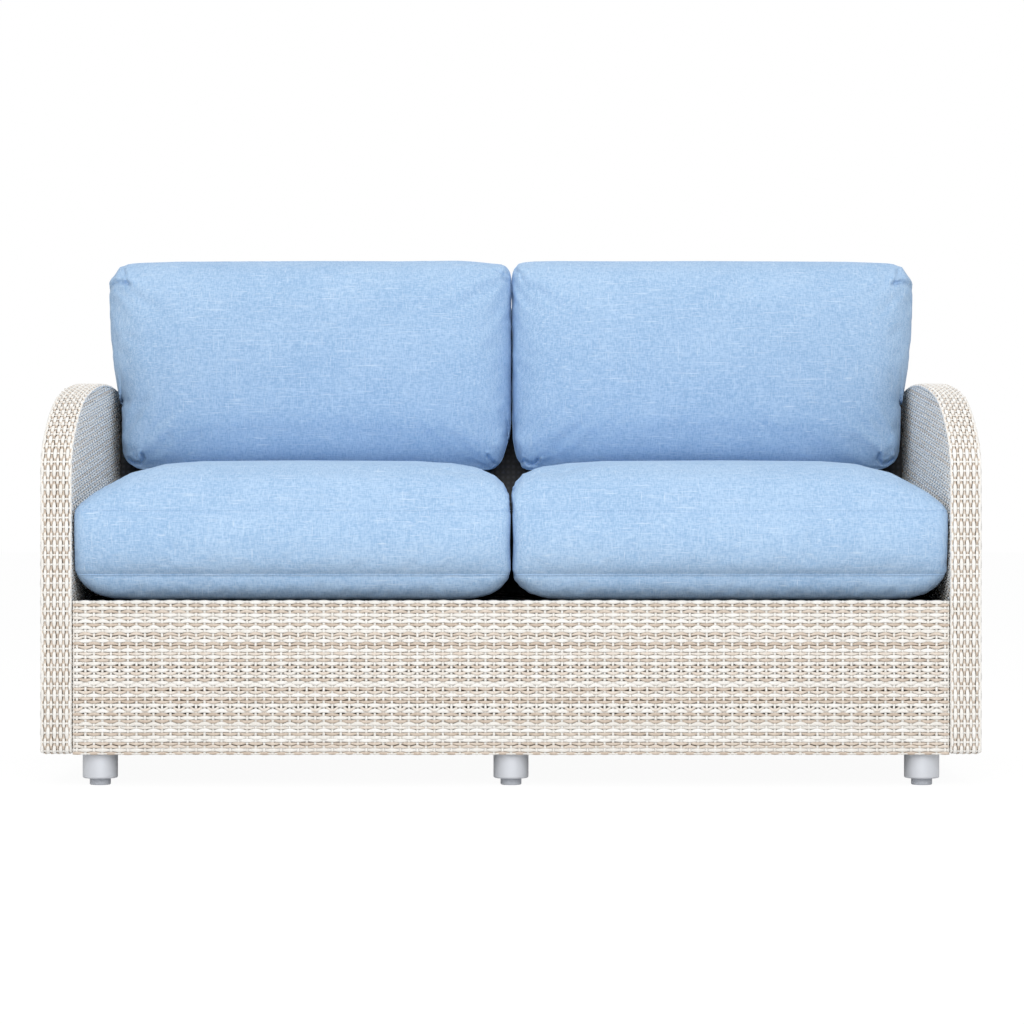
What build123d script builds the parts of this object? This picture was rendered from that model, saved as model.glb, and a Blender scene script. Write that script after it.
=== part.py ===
from build123d import *
from math import asin, cos, degrees, radians, sin, tan
import os

os.makedirs("parts", exist_ok=True)

# Woven resin loveseat with aluminium frame and loose cushions.
# Millimetres. +Z is up, the front faces -Y, the origin is at the middle of the base.

# Overall sizes
overall_width = 1520
arm_depth = 790
floor_clearance = 53
deck_height = 300
back_height = 815
recline = 7

# Arms
arm_thickness = 52
arm_front_height = 500
arm_front_radius = 80
arm_shoulder_radius = 400
arm_top_radius = 1560
arm_rear_radius = 60
front_turn_end = 38
shoulder_turn_end = 11

# Woven skin and clearances
weave = 5
fit = 0.2
apron_recess = 6
overrun = 10

# Raised stakes on the front apron and the outer back: every fifth one of the weave
stake_spacing = 68.5
stake_width = 14
stake_height = 1.4

# Frame tubes
rail = 30
post = 25
wall = 2
arm_tube = 20
bar_height = 30

# Back
back_base_thickness = 172
sling = 2

# Deck straps
strap_width = 50
strap_thickness = 1.8
long_strap_count = 14
cross_strap_count = 6

# Feet and levelling glides
foot_radius = 28.5
foot_inset = 92
foot_setback = 48
foot_edge_radius = 3
foot_plate_thickness = 4
foot_plate_length = 80
foot_plate_margin = 6
glide_height = 11
glide_radius = 17
glide_edge_radius = 2
stem_radius = 4
stem_length = 28
stem_clearance = 0.05
stop_gap = 0.3
screw_spread = 18
screw_radius = 2.5
screw_head_radius = 4.5
screw_head_height = 3
screw_bite = 18

# Arm bolts
bolt_radius = 4
bolt_hole_clearance = 0.3
bolt_head_radius = 6.5
bolt_head_height = 6
bolt_bite = 25
bolt_place_shares = (0.16, 0.5, 0.86)

# Seat cushions
cushion_gap = 1
soft_gap = 0.4
front_proud = 14
lower_seam_rise = 41
boxing_height = 104
crown_rise = 84
crown_shoulder = 60
belly_shoulder = 60
seat_end_steps = (0, 6, 16, 32, 60, 100, 160)
seat_rise_shares = (0.07, 0.4, 0.57, 0.71, 0.86, 0.95, 0.99)
seat_drop_shares = (0.1, 0.24, 0.43, 0.68, 0.92, 0.99, 1)
seat_end_insets = (30, 16, 9, 4, 2, 1, 0)
shoulder_rise_share = 0.86
shoulder_mid_shares = (0.2, 0.52)
belly_mid_shares = (0.33, 0.55)
core_margin = 48
core_height_shares = (0.12, 0.75)

# Back cushions
cushion_above_back = 74
back_cushion_thickness = 172
back_edge_rise = 46
back_front_bulge = 20
back_rear_bulge = 8
back_end_steps = (0, 6, 16, 32, 60, 100, 160)
back_height_shares = (0.86, 0.92, 0.955, 0.98, 0.993, 0.997, 1)
back_thickness_shares = (0.42, 0.56, 0.69, 0.8, 0.9, 0.96, 0.99)
back_seat_rise = 217.6
back_core_margin = 55
back_core_thickness_share = 0.5

# Places that follow from the sizes
overall_depth = arm_depth + front_proud
front_y = -overall_depth / 2 + front_proud
rear_y = front_y + arm_depth
outer_x = overall_width / 2
inner_x = outer_x - arm_thickness
rail_top = deck_height - 2 * strap_thickness - 2 * fit
rail_base = rail_top - rail
lean = tan(radians(recline))
inside_back_y = rear_y - back_base_thickness
side_planes = {"left": -1, "right": 1}


# Gives a plane across the width at x, with its own axes along +Y and +Z.
def side_plane(x):
    return Plane(origin=(x, 0, 0), x_dir=(0, 1, 0), z_dir=(1, 0, 0))


# A box from its lowest and highest corners.
def block(low, high):
    size = [b - a for a, b in zip(low, high)]
    middle = [(a + b) / 2 for a, b in zip(low, high)]
    return Pos(*middle) * Box(*size)


# A square or oblong tube with open ends that runs along one axis.
def tube(low, high, along):
    hole_low = [a - overrun if i == along else a + wall for i, a in enumerate(low)]
    hole_high = [b + overrun if i == along else b - wall for i, b in enumerate(high)]
    return block(low, high) - block(hole_low, hole_high)


# A closed polygon in the side plane, drawn out across the width.
def slab(points, x_low, x_high):
    face = make_face(Polyline(*points, close=True))
    return extrude(side_plane(x_low) * face, x_high - x_low)


# The arm seen from the side: upright front, tight front corner, long shoulder,
# gently arched top and a round rear corner. Every stretch moves in by the inset.
def arm_face(inset):
    corner = Vector(front_y + arm_front_radius, arm_front_height)
    turns = (front_turn_end, shoulder_turn_end)
    radii = (arm_front_radius, arm_shoulder_radius, arm_top_radius)
    centres = [corner]
    for turn, radius, next_radius in zip(turns, radii, radii[1:]):
        away = Vector(-sin(radians(turn)), cos(radians(turn)))
        centres.append(centres[-1] + away * (radius - next_radius))
    reach = rear_y - arm_rear_radius - centres[-1].X
    rear_turn = degrees(asin(reach / (arm_top_radius - arm_rear_radius)))
    away = Vector(sin(radians(rear_turn)), cos(radians(rear_turn)))
    centres.append(centres[-1] + away * (arm_top_radius - arm_rear_radius))
    angles = (180, 90 + front_turn_end, 90 + shoulder_turn_end, 90 - rear_turn, 0)
    lines = []
    for centre, radius, start, end in zip(centres, radii + (arm_rear_radius,), angles, angles[1:]):
        lines.append(CenterArc((centre.X, centre.Y), radius - inset, end, start - end))
    low = floor_clearance + inset
    front_low = (front_y + inset, low)
    rear_low = (rear_y - inset, low)
    lines.append(Line(front_low, (front_y + inset, arm_front_height)))
    lines.append(Line(front_low, rear_low))
    lines.append(Line(rear_low, (rear_y - inset, centres[-1].Y)))
    return make_face(Curve() + lines)


# A slab of the arm's outline between two places across the width.
def arm_slab(inset, x_low, x_high):
    return extrude(side_plane(x_low) * arm_face(inset), x_high - x_low)


def save(shape, name):
    shape.label = name
    export_step(shape, "parts/" + name + ".step")


# Arms
side_rail_start = front_y + apron_recess + weave + fit + rail
side_rail_end = inside_back_y
side_rail_length = side_rail_end - side_rail_start
bolt_places = [side_rail_start + share * side_rail_length for share in bolt_place_shares]
bolt_height = rail_base + rail / 2


# A rod along X between two places, at a bolt's place.
def bolt_rod(radius, x_low, x_high, y):
    circle = Pos(y, bolt_height) * Circle(radius)
    return extrude(side_plane(x_low) * circle, x_high - x_low)


def mirrored(x_low, x_high, side):
    return (x_low, x_high) if side > 0 else (-x_high, -x_low)


def arm_nodes(side_name, side):
    low, high = mirrored(inner_x, outer_x, side)
    band = arm_slab(0, low, high) - arm_slab(weave, low - overrun, high + overrun)
    save(band, "arm_band_" + side_name)
    skin = weave + fit
    low, high = mirrored(outer_x - weave, outer_x, side)
    save(arm_slab(skin, low, high), "arm_outer_panel_" + side_name)
    low, high = mirrored(inner_x, inner_x + weave, side)
    panel = arm_slab(skin, low, high)
    for y in bolt_places:
        panel -= bolt_rod(bolt_radius + bolt_hole_clearance, low - overrun, high + overrun, y)
    save(panel, "arm_inner_panel_" + side_name)
    low, high = mirrored(inner_x + skin, outer_x - skin, side)
    frame = arm_slab(skin, low, high) - arm_slab(skin + arm_tube, low - overrun, high + overrun)
    bar_front = front_y + skin + arm_tube / 2
    bar_rear = rear_y - skin - arm_tube / 2
    bar_base = bolt_height - bar_height / 2
    frame += block((low, bar_front, bar_base), (high, bar_rear, bar_base + bar_height))
    hole_low, hole_high = mirrored(inner_x, inner_x + skin + bolt_bite + overrun, side)
    for y in bolt_places:
        frame -= bolt_rod(bolt_radius + bolt_hole_clearance, hole_low, hole_high, y)
    save(frame, "arm_frame_" + side_name)


for side_name, side in side_planes.items():
    arm_nodes(side_name, side)

# Seat frame
span = inner_x - fit
front_rail_y = front_y + apron_recess + weave + fit
rear_face_y = rear_y - apron_recess - weave - fit
lower_base = floor_clearance + weave + foot_plate_thickness
lower_top = lower_base + rail
long_rails = {
    "front_rail": (front_rail_y, rail_base, rail_top),
    "rear_rail": (inside_back_y, rail_base, rail_top),
    "front_lower_rail": (front_rail_y, lower_base, lower_top),
    "rear_lower_rail": (rear_face_y - rail, lower_base, lower_top),
}
for name, (y, low_z, high_z) in long_rails.items():
    save(tube((-span, y, low_z), (span, y + rail, high_z), 0), name)

for side_name, side in side_planes.items():
    low, high = mirrored(span - rail, span, side)
    side_rail = tube((low, front_rail_y + rail, rail_base), (high, inside_back_y, rail_top), 1)
    for y in bolt_places:
        side_rail -= bolt_rod(bolt_radius + bolt_hole_clearance, low - overrun, high + overrun, y)
    save(side_rail, "side_rail_" + side_name)

beam_low = (-rail / 2, front_rail_y + rail, rail_base)
beam_high = (rail / 2, inside_back_y, rail_top)
save(tube(beam_low, beam_high, 1), "centre_beam")

# Bolts through the side rails and inner arm panels into the arm frames
bolt_list = []
for side in side_planes.values():
    for y in bolt_places:
        head_low, head_high = mirrored(span - rail - bolt_head_height, span - rail, side)
        shank_low, shank_high = mirrored(span - rail, inner_x + weave + fit + bolt_bite, side)
        head = bolt_rod(bolt_head_radius, head_low, head_high, y)
        bolt_list.append(head + bolt_rod(bolt_radius, shank_low, shank_high, y))
save(Compound(children=bolt_list), "arm_bolts")

# Feet, foot plates, screws and glides
foot_columns = {"left": -(outer_x - foot_inset), "centre": 0, "right": outer_x - foot_inset}
foot_rows = {"front": front_y + foot_setback, "rear": rear_y - foot_setback}
foot_top = floor_clearance + weave
plate_list = []
screw_list = []
plate_reach = foot_radius + foot_plate_margin
for row_name, y in foot_rows.items():
    for column_name, x in foot_columns.items():
        body = Pos(x, y, (glide_height + foot_top) / 2) * Cylinder(foot_radius, foot_top - glide_height)
        body = fillet(body.edges().group_by(Axis.Z)[0], foot_edge_radius)
        bore_top = glide_height + stem_length + stop_gap
        bore = Cylinder(stem_radius + stem_clearance, bore_top - glide_height + overrun)
        body -= Pos(x, y, (glide_height - overrun + bore_top) / 2) * bore
        plate_low_y = front_rail_y if row_name == "front" else y - plate_reach
        plate_high_y = y + plate_reach if row_name == "front" else rear_face_y
        plate_low = (x - foot_plate_length / 2, plate_low_y, foot_top)
        plate = block(plate_low, (x + foot_plate_length / 2, plate_high_y, lower_base))
        for offset in (-screw_spread, screw_spread):
            shank_height = foot_plate_thickness + screw_bite
            shank = Pos(x + offset, y, lower_base - shank_height / 2) * Cylinder(screw_radius, shank_height)
            hole = Cylinder(screw_radius + fit, shank_height + overrun)
            hole = Pos(x + offset, y, lower_base + overrun - (shank_height + overrun) / 2) * hole
            head = Cylinder(screw_head_radius, screw_head_height)
            head = Pos(x + offset, y, lower_base + screw_head_height / 2) * head
            screw_list.append(head + shank)
            body -= hole
            plate -= hole
        plate_list.append(plate)
        save(body, "foot_" + row_name + "_" + column_name)
        pad_top = glide_height - stop_gap
        pad = Pos(x, y, pad_top / 2) * Cylinder(glide_radius, pad_top)
        pad = fillet(pad.edges().group_by(Axis.Z)[0], glide_edge_radius)
        stem = Pos(x, y, pad_top + stem_length / 2) * Cylinder(stem_radius, stem_length)
        save(pad + stem, "glide_" + row_name + "_" + column_name)
save(Compound(children=plate_list), "foot_plates")
save(Compound(children=screw_list), "foot_screws")

# Uprights between the lower and upper front rails, and the posts at the rear
top_low = back_height - weave - fit - post
upright_list = []
for column_name, x in foot_columns.items():
    low = (x - post / 2, front_rail_y, lower_top)
    high = (x + post / 2, front_rail_y + post, rail_base)
    upright_list.append(tube(low, high, 2))
    low = (x - post / 2, rear_face_y - post, lower_top)
    high = (x + post / 2, rear_face_y, top_low)
    save(tube(low, high, 2), "rear_post_" + column_name)
save(Compound(children=upright_list), "front_uprights")

# Ties from the rear rail to the rear posts
tie_list = []
for x in foot_columns.values():
    low = (x - post / 2, inside_back_y + rail, rail_base)
    high = (x + post / 2, rear_face_y - post, rail_base + post)
    tie_list.append(tube(low, high, 1))
save(Compound(children=tie_list), "back_ties")


# Place of the inside back's front face at a height.
def lean_y(z):
    return inside_back_y + (z - deck_height) * lean


# Reclined posts behind the sling
post_front = sling / cos(radians(recline)) + fit
post_run = post / cos(radians(recline))
for column_name, x in foot_columns.items():
    outer = [(lean_y(z) + post_front + run, z) for z, run in
             ((rail_top, 0), (rail_top, post_run), (top_low, post_run), (top_low, 0))]
    inner = [(lean_y(z) + post_front + run, z) for z, run in
             ((rail_top - overrun, wall), (rail_top - overrun, post_run - wall),
              (top_low + overrun, post_run - wall), (top_low + overrun, wall))]
    shape = slab(outer, x - post / 2, x + post / 2)
    shape -= slab(inner, x - post / 2 + wall, x + post / 2 - wall)
    save(shape, "recline_post_" + column_name)

# Top frame of the back: two long tubes joined by three short ones
top_high = back_height - weave - fit
top_front_y = lean_y(back_height) + post_front
top_span = span - weave - fit
top_frame = tube((-top_span, rear_face_y - post, top_low), (top_span, rear_face_y, top_high), 0)
top_frame += tube((-top_span, top_front_y, top_low), (top_span, top_front_y + post, top_high), 0)
for x in foot_columns.values():
    low = (x - post / 2, top_front_y + post - wall, top_low)
    high = (x + post / 2, rear_face_y - post + wall, top_high)
    top_frame += tube(low, high, 1)
save(top_frame, "back_top_frame")

# Sling across the inside of the back
sling_run = sling / cos(radians(recline))
sling_top = back_height - weave - fit
sling_points = [(lean_y(z) + run, z) for z, run in
                ((rail_top + fit, 0), (rail_top + fit, sling_run), (sling_top, sling_run), (sling_top, 0))]
save(slab(sling_points, -span, span), "inside_back_sling")

# A woven panel across the body whose stakes stand out of it, to the front (-1) or the rear (1).
def staked_panel(inner_y, outward, top):
    face_y = inner_y + outward * (weave - stake_height)
    low_y, high_y = sorted((inner_y, face_y))
    panel = block((-span, low_y, floor_clearance), (span, high_y, top))
    low_y, high_y = sorted((inner_y, inner_y + outward * weave))
    count = int((span - stake_width) / stake_spacing)
    for i in range(-count, count + 1):
        x = i * stake_spacing
        panel += block((x - stake_width / 2, low_y, floor_clearance), (x + stake_width / 2, high_y, top))
    return panel


# Woven panels of the body
save(staked_panel(front_y + apron_recess + weave, -1, deck_height), "front_apron")
outer_top = back_height - weave - fit
save(staked_panel(rear_y - apron_recess - weave, 1, outer_top), "outer_back_panel")
band_low = (-span, lean_y(back_height), back_height - weave)
top_band = block(band_low, (span, rear_y - apron_recess, back_height))
save(top_band, "back_top_band")

# Woven ends of the back, from behind the arms up to the top band
end_low = deck_height + rail
end_points = [(lean_y(end_low) + post_front, end_low), (lean_y(outer_top) + post_front, outer_top),
              (rear_face_y, outer_top), (rear_face_y, end_low)]
for side_name, side in side_planes.items():
    low, high = mirrored(span - weave, span, side)
    save(slab(end_points, low, high), "back_end_panel_" + side_name)

# Deck straps: the lengthwise ones on the rails, the crosswise ones over them
strap_front = front_rail_y
strap_rear = lean_y(rail_top) - fit
strap_span = span - rail / 2
long_pitch = 2 * strap_span / long_strap_count
long_list = []
for i in range(long_strap_count):
    x = -strap_span + (i + 1 / 2) * long_pitch
    low = (x - strap_width / 2, strap_front, rail_top)
    high = (x + strap_width / 2, strap_rear, rail_top + strap_thickness)
    long_list.append(block(low, high))
save(Compound(children=long_list), "deck_straps_long")
cross_pitch = (strap_rear - strap_front) / cross_strap_count
cross_list = []
cross_base = rail_top + strap_thickness + fit
for i in range(cross_strap_count):
    y = strap_front + (i + 1 / 2) * cross_pitch
    low = (-span, y - strap_width / 2, cross_base)
    high = (span, y + strap_width / 2, cross_base + strap_thickness)
    cross_list.append(block(low, high))
save(Compound(children=cross_list), "deck_straps_cross")

# Seat cushions: boxed, with seams above and below the boxing and a high crown
cushion_width = inner_x - 2 * cushion_gap
seat_base = deck_height + soft_gap
seat_front_y = front_y
seat_rear_y = inside_back_y - cushion_gap


# One slice of a seat cushion across the width: flat underside, rounded lower edges,
# upright boxing, rounded upper edges and an arched top.
def seat_face(inset, rise, drop, proud):
    front = seat_front_y + inset
    rear = seat_rear_y - inset
    low_seam = seat_base + lower_seam_rise
    high_seam = low_seam + boxing_height
    across, up = shoulder_mid_shares
    under_across, under = belly_mid_shares
    shoulder = high_seam + rise * shoulder_rise_share
    base = low_seam - drop
    lines = [
        ThreePointArc((front, low_seam), (front - proud, (low_seam + high_seam) / 2), (front, high_seam)),
        ThreePointArc((front, high_seam), (front + across * crown_shoulder, high_seam + up * rise),
                      (front + crown_shoulder, shoulder)),
        ThreePointArc((front + crown_shoulder, shoulder), ((front + rear) / 2, high_seam + rise),
                      (rear - crown_shoulder, shoulder)),
        ThreePointArc((rear - crown_shoulder, shoulder),
                      (rear - across * crown_shoulder, high_seam + up * rise), (rear, high_seam)),
        Line((rear, high_seam), (rear, low_seam)),
        ThreePointArc((rear, low_seam), (rear - under_across * belly_shoulder, low_seam - under * drop),
                      (rear - belly_shoulder, base)),
        Line((rear - belly_shoulder, base), (front + belly_shoulder, base)),
        ThreePointArc((front + belly_shoulder, base),
                      (front + under_across * belly_shoulder, low_seam - under * drop), (front, low_seam)),
    ]
    return make_face(Curve() + lines)


# Lays the slices out from one end to the middle and back out to the other end.
def lofted(low_x, steps, faces, middle_face, plane_at):
    width = cushion_width
    sections = [plane_at(low_x + step) * face for step, face in zip(steps, faces)]
    sections.append(plane_at(low_x + width / 2) * middle_face)
    sections += [plane_at(low_x + width - step) * face for step, face in reversed(list(zip(steps, faces)))]
    return loft(sections, ruled=True)


seat_faces = []
for inset, rise_share, drop_share in zip(seat_end_insets, seat_rise_shares, seat_drop_shares):
    proud = front_proud * rise_share
    seat_faces.append(seat_face(inset, crown_rise * rise_share, lower_seam_rise * drop_share, proud))
seat_middle = seat_face(0, crown_rise, lower_seam_rise, front_proud)

# Back cushions: soft slabs with round edges, leaning on the sling
back_cushion_base = deck_height + back_seat_rise
back_cushion_rise = back_height + cushion_above_back - back_cushion_base
back_cushion_height = back_cushion_rise / cos(radians(recline))
back_middle_z = back_cushion_base + back_cushion_rise / 2
back_half = back_cushion_thickness / 2
back_middle_y = lean_y(back_middle_z) - (back_half + soft_gap) / cos(radians(recline))


# The reclined plane across the width at x, with its axes along the thickness and the height.
def back_plane(x):
    tilt = radians(recline)
    return Plane(origin=(x, back_middle_y, back_middle_z), x_dir=(0, cos(tilt), -sin(tilt)), z_dir=(1, 0, 0))


# One slice of a back cushion: crowned front, flatter rear, round top and bottom edges.
def back_face(height_share, thickness_share):
    half_height = back_cushion_height / 2 * height_share
    half = back_half * thickness_share
    edge = half_height - back_edge_rise * thickness_share
    front_edge = -(half - back_front_bulge * thickness_share)
    rear_edge = half - back_rear_bulge * thickness_share
    middle = (front_edge + rear_edge) / 2
    lines = [
        ThreePointArc((front_edge, -edge), (-half, 0), (front_edge, edge)),
        ThreePointArc((front_edge, edge), (middle, half_height), (rear_edge, edge)),
        ThreePointArc((rear_edge, edge), (half, 0), (rear_edge, -edge)),
        ThreePointArc((rear_edge, -edge), (middle, -half_height), (front_edge, -edge)),
    ]
    return make_face(Curve() + lines)


back_faces = [back_face(*shares) for shares in zip(back_height_shares, back_thickness_shares)]
back_middle = back_face(1, 1)

for side_name, side in side_planes.items():
    low_x = cushion_gap if side > 0 else -cushion_gap - cushion_width
    seat = lofted(low_x, seat_end_steps, seat_faces, seat_middle, side_plane)
    core_low_share, core_high_share = core_height_shares
    cushion_rise = lower_seam_rise + boxing_height + crown_rise
    core_base = seat_base + core_low_share * cushion_rise
    core_low = (low_x + core_margin, seat_front_y + core_margin, core_base)
    core_high = (low_x + cushion_width - core_margin, seat_rear_y - core_margin,
                 seat_base + core_high_share * cushion_rise)
    core = block(core_low, core_high)
    cavity = block([a - fit for a in core_low], [b + fit for b in core_high])
    save(seat - cavity, "seat_cushion_" + side_name)
    save(core, "seat_core_" + side_name)
    cushion = lofted(low_x, back_end_steps, back_faces, back_middle, back_plane)
    middle_plane = back_plane(low_x + cushion_width / 2)
    core_size = [back_core_thickness_share * back_cushion_thickness,
                 back_cushion_height - 2 * back_core_margin, cushion_width - 2 * back_core_margin]
    core = middle_plane * Box(*core_size)
    cavity = middle_plane * Box(*[size + 2 * fit for size in core_size])
    save(cushion - cavity, "back_cushion_" + side_name)
    save(core, "back_core_" + side_name)
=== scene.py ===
import math
import random

import bmesh
import bpy
import numpy as np
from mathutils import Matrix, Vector
from mathutils.bvhtree import BVHTree


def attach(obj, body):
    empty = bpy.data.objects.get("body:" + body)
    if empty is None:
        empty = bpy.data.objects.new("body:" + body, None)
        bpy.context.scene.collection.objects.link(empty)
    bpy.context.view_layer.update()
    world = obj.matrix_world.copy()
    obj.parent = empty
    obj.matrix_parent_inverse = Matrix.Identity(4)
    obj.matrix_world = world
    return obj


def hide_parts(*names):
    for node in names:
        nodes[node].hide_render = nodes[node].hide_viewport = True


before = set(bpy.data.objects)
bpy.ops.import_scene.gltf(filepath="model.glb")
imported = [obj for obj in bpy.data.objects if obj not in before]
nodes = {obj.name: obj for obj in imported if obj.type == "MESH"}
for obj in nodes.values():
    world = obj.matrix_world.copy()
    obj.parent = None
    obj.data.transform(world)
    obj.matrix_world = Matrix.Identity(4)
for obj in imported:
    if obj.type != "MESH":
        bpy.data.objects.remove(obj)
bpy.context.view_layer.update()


# ---------------------------------------------------------------- the frame
# The skeleton under the weave: aluminium tube, cut, welded and powder coated.
# The coat is a fine, slightly pebbled taupe film, so it has no metal glint.

def add(tree, kind, inputs=None, **settings):
    """A shader node with its settings, its socket values and its links."""
    made = tree.nodes.new(kind)
    for key, value in settings.items():
        setattr(made, key, value)
    for key, value in (inputs or {}).items():
        if isinstance(value, bpy.types.NodeSocket):
            tree.links.new(value, made.inputs[key])
        else:
            made.inputs[key].default_value = value
    return made


def linear(code):
    """An sRGB hex colour as linear RGBA."""
    parts = [int(code[i:i + 2], 16) / 255 for i in (1, 3, 5)]
    return [p / 12.92 if p <= 0.04045 else ((p + 0.055) / 1.055) ** 2.4 for p in parts] + [1.0]


def new_material(name):
    """A material with no nodes yet, and its node tree."""
    made = bpy.data.materials.new(name)
    made.use_nodes = True
    made.node_tree.nodes.clear()
    return made, made.node_tree


def dress(material, *names):
    """Gives carried-over CAD nodes their finish."""
    for name in names:
        mesh = nodes[name].data
        mesh.materials.clear()
        mesh.materials.append(material)


coat, tree = new_material("powder_coated_aluminium")
place = add(tree, "ShaderNodeTexCoord").outputs["Object"]
# pebbles of 1 mm, drawn in clouds of a lighter and a darker coat 110 mm across
pebble = add(tree, "ShaderNodeTexNoise", {"Vector": place, "Scale": 900.0, "Detail": 2.0})
cloud = add(tree, "ShaderNodeTexNoise", {"Vector": place, "Scale": 9.0, "Detail": 3.0})
tone = add(tree, "ShaderNodeMix", {"Factor": cloud.outputs["Fac"], "A": linear("#4b433b"), "B": linear("#5a5148")},
           data_type="RGBA")
grain = add(tree, "ShaderNodeBump", {"Height": pebble.outputs["Fac"], "Strength": 0.25, "Distance": 0.0003})
skin = add(tree, "ShaderNodeBsdfPrincipled", {"Base Color": tone.outputs["Result"], "Normal": grain.outputs["Normal"],
                                              "Roughness": 0.48})
add(tree, "ShaderNodeOutputMaterial", {"Surface": skin.outputs["BSDF"]})

rails = [n for n in nodes if n.endswith(("_rail", "_rail_left", "_rail_right"))
         or n.startswith(("arm_frame", "rear_post", "recline_post"))]
dress(coat, *rails, "centre_beam", "front_uprights", "back_ties", "back_top_frame")


# ---------------------------------------------------------------- feet, plates and glides
# Six turned aluminium cylinders, satin anodised, screwed up into plates on the
# lower rails. Each ends in a grey nylon glide that slides in and out on a stem.

anodised, tree = new_material("satin_anodised_aluminium")
place = add(tree, "ShaderNodeTexCoord").outputs["Object"]
# turning marks 0.4 mm apart up the foot, 50 mm long round it
turned = add(tree, "ShaderNodeMapping", {"Vector": place, "Scale": (20.0, 20.0, 2600.0)})
lines = add(tree, "ShaderNodeTexNoise", {"Vector": turned.outputs["Vector"], "Scale": 1.0, "Detail": 2.0})
rough = add(tree, "ShaderNodeMapRange", {"Value": lines.outputs["Fac"], "To Min": 0.46, "To Max": 0.56})
grain = add(tree, "ShaderNodeBump", {"Height": lines.outputs["Fac"], "Strength": 0.12, "Distance": 0.0002})
skin = add(tree, "ShaderNodeBsdfPrincipled", {"Base Color": linear("#d3d6dc"), "Metallic": 0.3,
                                              "Roughness": rough.outputs["Result"],
                                              "Normal": grain.outputs["Normal"]})
add(tree, "ShaderNodeOutputMaterial", {"Surface": skin.outputs["BSDF"]})
dress(anodised, *[n for n in nodes if n.startswith(("foot_front", "foot_rear"))])

nylon, tree = new_material("moulded_grey_nylon")
place = add(tree, "ShaderNodeTexCoord").outputs["Object"]
# scuffs of 4 mm
scuff = add(tree, "ShaderNodeTexNoise", {"Vector": place, "Scale": 260.0, "Detail": 4.0})
tone = add(tree, "ShaderNodeMix", {"Factor": scuff.outputs["Fac"], "A": linear("#a9adb5"), "B": linear("#c3c6cd")},
           data_type="RGBA")
skin = add(tree, "ShaderNodeBsdfPrincipled", {"Base Color": tone.outputs["Result"], "Roughness": 0.45})
add(tree, "ShaderNodeOutputMaterial", {"Surface": skin.outputs["BSDF"]})
dress(nylon, *[n for n in nodes if n.startswith("glide_")])

zinc, tree = new_material("zinc_plated_steel")
place = add(tree, "ShaderNodeTexCoord").outputs["Object"]
# crystals of the plating, 3 mm
spangle = add(tree, "ShaderNodeTexVoronoi", {"Vector": place, "Scale": 300.0})
tone = add(tree, "ShaderNodeMix", {"Factor": spangle.outputs["Distance"], "A": linear("#a8a9a6"),
                                   "B": linear("#c9cac6")}, data_type="RGBA")
skin = add(tree, "ShaderNodeBsdfPrincipled", {"Base Color": tone.outputs["Result"], "Metallic": 1.0,
                                              "Roughness": 0.38})
add(tree, "ShaderNodeOutputMaterial", {"Surface": skin.outputs["BSDF"]})
dress(zinc, "foot_plates", "foot_screws", "arm_bolts")


# ---------------------------------------------------------------- the woven arms
# Flat resin strands, ivory and light tan, woven by hand over ivory stakes on the
# arm frames: twill inside, plain outside, and a plain band that wraps the edge.

FRONT_Y, REAR_Y, LOW_Z = -0.388, 0.402, 0.0508
ARM_INNER_X, ARM_OUTER_X = 0.708, 0.760
SKIN = 0.005  # thickness of the woven skin on either side of the arm
# radii of the arm's side outline, from its front corner over shoulder and top to its rear
# corner, and the angles from upright at which the first two arcs end
ARM_RADII = (0.080, 0.400, 1.560, 0.060)
ARM_TURNS = (38.0, 11.0)
CORNER_HEIGHT = 0.500  # of the middle of the front corner's arc
TAN, IVORY, MIXED = 0, 1, 2
# the order in which the strands of a plain panel are laid
RUN = (TAN, IVORY, MIXED, TAN, IVORY, IVORY, TAN, IVORY, MIXED, IVORY, TAN, IVORY, TAN, IVORY, MIXED, IVORY, TAN)
# how far a bunch of strands spreads between two stakes, and how far a strand rises over one
SPREAD, LIFT = 0.26, 0.0013
STRAND_THICK, STAKE_THICK = 0.0017, 0.0015
SHORTEST = 0.012  # a strand or stake cut shorter than this by the outline is left out


def arm_outline(inset, corner):
    """(y, z, outward angle) samples once round the arm's side outline, from the middle of its underside."""
    centres = [np.array([FRONT_Y + ARM_RADII[0], CORNER_HEIGHT])]
    for turn, radius, following in zip(ARM_TURNS, ARM_RADII, ARM_RADII[1:]):
        away = np.array([-math.sin(math.radians(turn)), math.cos(math.radians(turn))])
        centres.append(centres[-1] + away * (radius - following))
    span = ARM_RADII[2] - ARM_RADII[3]
    rear_turn = math.degrees(math.asin((REAR_Y - ARM_RADII[3] - centres[-1][0]) / span))
    away = np.array([math.sin(math.radians(rear_turn)), math.cos(math.radians(rear_turn))])
    centres.append(centres[-1] + away * span)
    arcs = [(np.array([FRONT_Y + inset + corner, LOW_Z + inset + corner]), corner, 270.0, 180.0)]
    angles = (180.0, 90.0 + ARM_TURNS[0], 90.0 + ARM_TURNS[1], 90.0 - rear_turn, 0.0)
    for centre, radius, start, end in zip(centres, ARM_RADII, angles, angles[1:]):
        arcs.append((centre, radius - inset, start, end))
    arcs.append((np.array([REAR_Y - inset - corner, LOW_Z + inset + corner]), corner, 0.0, -90.0))
    samples = [(0.0, LOW_Z + inset, 270.0)]
    for centre, radius, start, end in arcs:
        steps = max(4, int(math.radians(start - end) * radius / 0.008))
        for angle in np.linspace(start, end, steps + 1):
            turn = math.radians(angle)
            samples.append((centre[0] + radius * math.cos(turn), centre[1] + radius * math.sin(turn), angle))
    samples.append((0.0, LOW_Z + inset, -90.0))
    return np.array(samples)


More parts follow.
